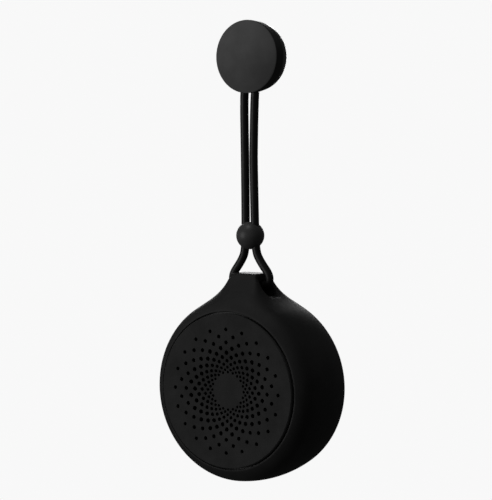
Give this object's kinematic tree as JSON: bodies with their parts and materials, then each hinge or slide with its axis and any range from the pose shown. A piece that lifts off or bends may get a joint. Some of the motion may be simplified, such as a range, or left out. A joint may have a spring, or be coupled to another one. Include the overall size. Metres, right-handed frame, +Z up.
{
  "type": "shower speaker",
  "caption": "Round waterproof loudspeaker in a silicone sleeve, hung by a lug on a cord loop with a cinch bead from a suction hook; dished perforated grille, keys and charging port behind.",
  "frame": {"origin": "centre of the suction cup's sealing face on the wall plane", "axes": "+Y into the wall, +Z up, the grille faces -Y"},
  "size_m": [0.085, 0.04, 0.2089],
  "materials": {
    "sleeve_silicone": "matte moulded silicone",
    "cap_rubber": "matte soft-touch rubber",
    "cord_silicone": "satin extruded silicone cord",
    "bead_silicone": "satin moulded bead",
    "key_silicone": "matte moulded keys",
    "seal_rubber": "smooth seal rubber",
    "suction_rubber": "smooth, slightly glossy suction rubber",
    "grille_paint": "fine satin paint on pressed metal",
    "black_plastic": "fine spark-eroded texture",
    "white_nylon": "natural nylon",
    "plated_steel": "zinc plated",
    "basket_steel": "black coated steel",
    "foam": "closed-cell foam",
    "mesh_cloth": "fine woven acoustic cloth",
    "ferrite": "sintered ferrite",
    "cone_paper": "pressed paper pulp",
    "former_foil": "thin foil",
    "copper": "enamelled copper wire",
    "spider_cloth": "resin-treated cloth",
    "board_laminate": "green solder mask",
    "battery_wrap": "shrink film",
    "tin_can": "tinned sheet",
    "chip_resin": "moulded resin",
    "lamp_lens": "milky lens",
    "lead_wire": "insulated wire"
  },
  "bodies": {
    "hook": {"suction_cup": "suction_rubber", "hook_post": "white_nylon", "post_screw": "plated_steel"},
    "cap": {"hook_cap": "cap_rubber", "swivel_hub": "black_plastic", "cord_ferrules": "plated_steel"},
    "lanyard": {"lanyard_cord": "cord_silicone"},
    "bead": {"cord_bead": "bead_silicone"},
    "coil_assembly": {"cone": "cone_paper", "dust_cap": "cone_paper", "coil_former": "former_foil", "voice_coil": "copper"},
    "down_key": {"key_volume_down": "key_silicone"},
    "play_key": {"key_play": "key_silicone"},
    "up_key": {"key_volume_up": "key_silicone"},
    "flap": {"usb_flap": "key_silicone"},
    "speaker": {"silicone_sleeve": "sleeve_silicone", "front_housing": "black_plastic", "rear_housing": "black_plastic", "housing_seal": "seal_rubber", "housing_screws": "plated_steel", "grille_plate": "grille_paint", "grille_gasket": "foam", "grille_mesh": "mesh_cloth", "driver_basket": "basket_steel", "driver_gasket": "foam", "driver_screws": "plated_steel", "top_plate": "plated_steel", "ring_magnet": "ferrite", "pole_plate": "plated_steel", "surround": "seal_rubber", "spider": "spider_cloth", "terminal_strip": "board_laminate", "battery": "battery_wrap", "battery_foam": "foam", "circuit_board": "board_laminate", "board_screws": "plated_steel", "bluetooth_module": "tin_can", "amplifier_chip": "chip_resin", "microphone": "tin_can", "status_lamp": "lamp_lens", "capacitors": "battery_wrap", "tact_switches": "tin_can", "usb_connector": "tin_can", "driver_leads": "lead_wire", "battery_leads": "lead_wire", "light_pipe": "lamp_lens"}
  },
  "joints": [
    {"name": "cap_swivel", "type": "hinge", "parent": "hook", "child": "cap", "pos_m": [0, 0, 0], "axis": [0, 1, 0], "continuous": true},
    {"name": "lanyard_tilt", "type": "hinge", "parent": "cap", "child": "lanyard", "pos_m": [0, -0.0088, -0.0159], "axis": [1, 0, 0], "range_deg": [-30, 15]},
    {"name": "bead_slide", "type": "slide", "parent": "lanyard", "child": "bead", "axis": [0, 0, 1], "range_m": [0, 0.055]},
    {"name": "speaker_rock", "type": "hinge", "parent": "lanyard", "child": "speaker", "pos_m": [0, -0.0088, -0.1037], "axis": [1, 0, 0], "range_deg": [-45, 45]},
    {"name": "cone_travel", "type": "slide", "parent": "speaker", "child": "coil_assembly", "axis": [0, -1, 0], "range_m": [-0.001, 0.001], "stiffness_N_per_m": 900, "deforming": ["surround", "spider"]},
    {"name": "volume_down_press", "type": "slide", "parent": "speaker", "child": "down_key", "axis": [0, -1, 0], "range_m": [0, 0.0004], "stiffness_N_per_m": 2000},
    {"name": "play_press", "type": "slide", "parent": "speaker", "child": "play_key", "axis": [0, -1, 0], "range_m": [0, 0.0004], "stiffness_N_per_m": 2000},
    {"name": "volume_up_press", "type": "slide", "parent": "speaker", "child": "up_key", "axis": [0, -1, 0], "range_m": [0, 0.0004], "stiffness_N_per_m": 2000},
    {"name": "flap_hinge", "type": "hinge", "parent": "speaker", "child": "flap", "pos_m": [0, 0.00895, -0.17575], "axis": [-1, 0, 0], "range_deg": [0, 90], "stiffness_Nm_per_rad": 0.0006}
  ]
}
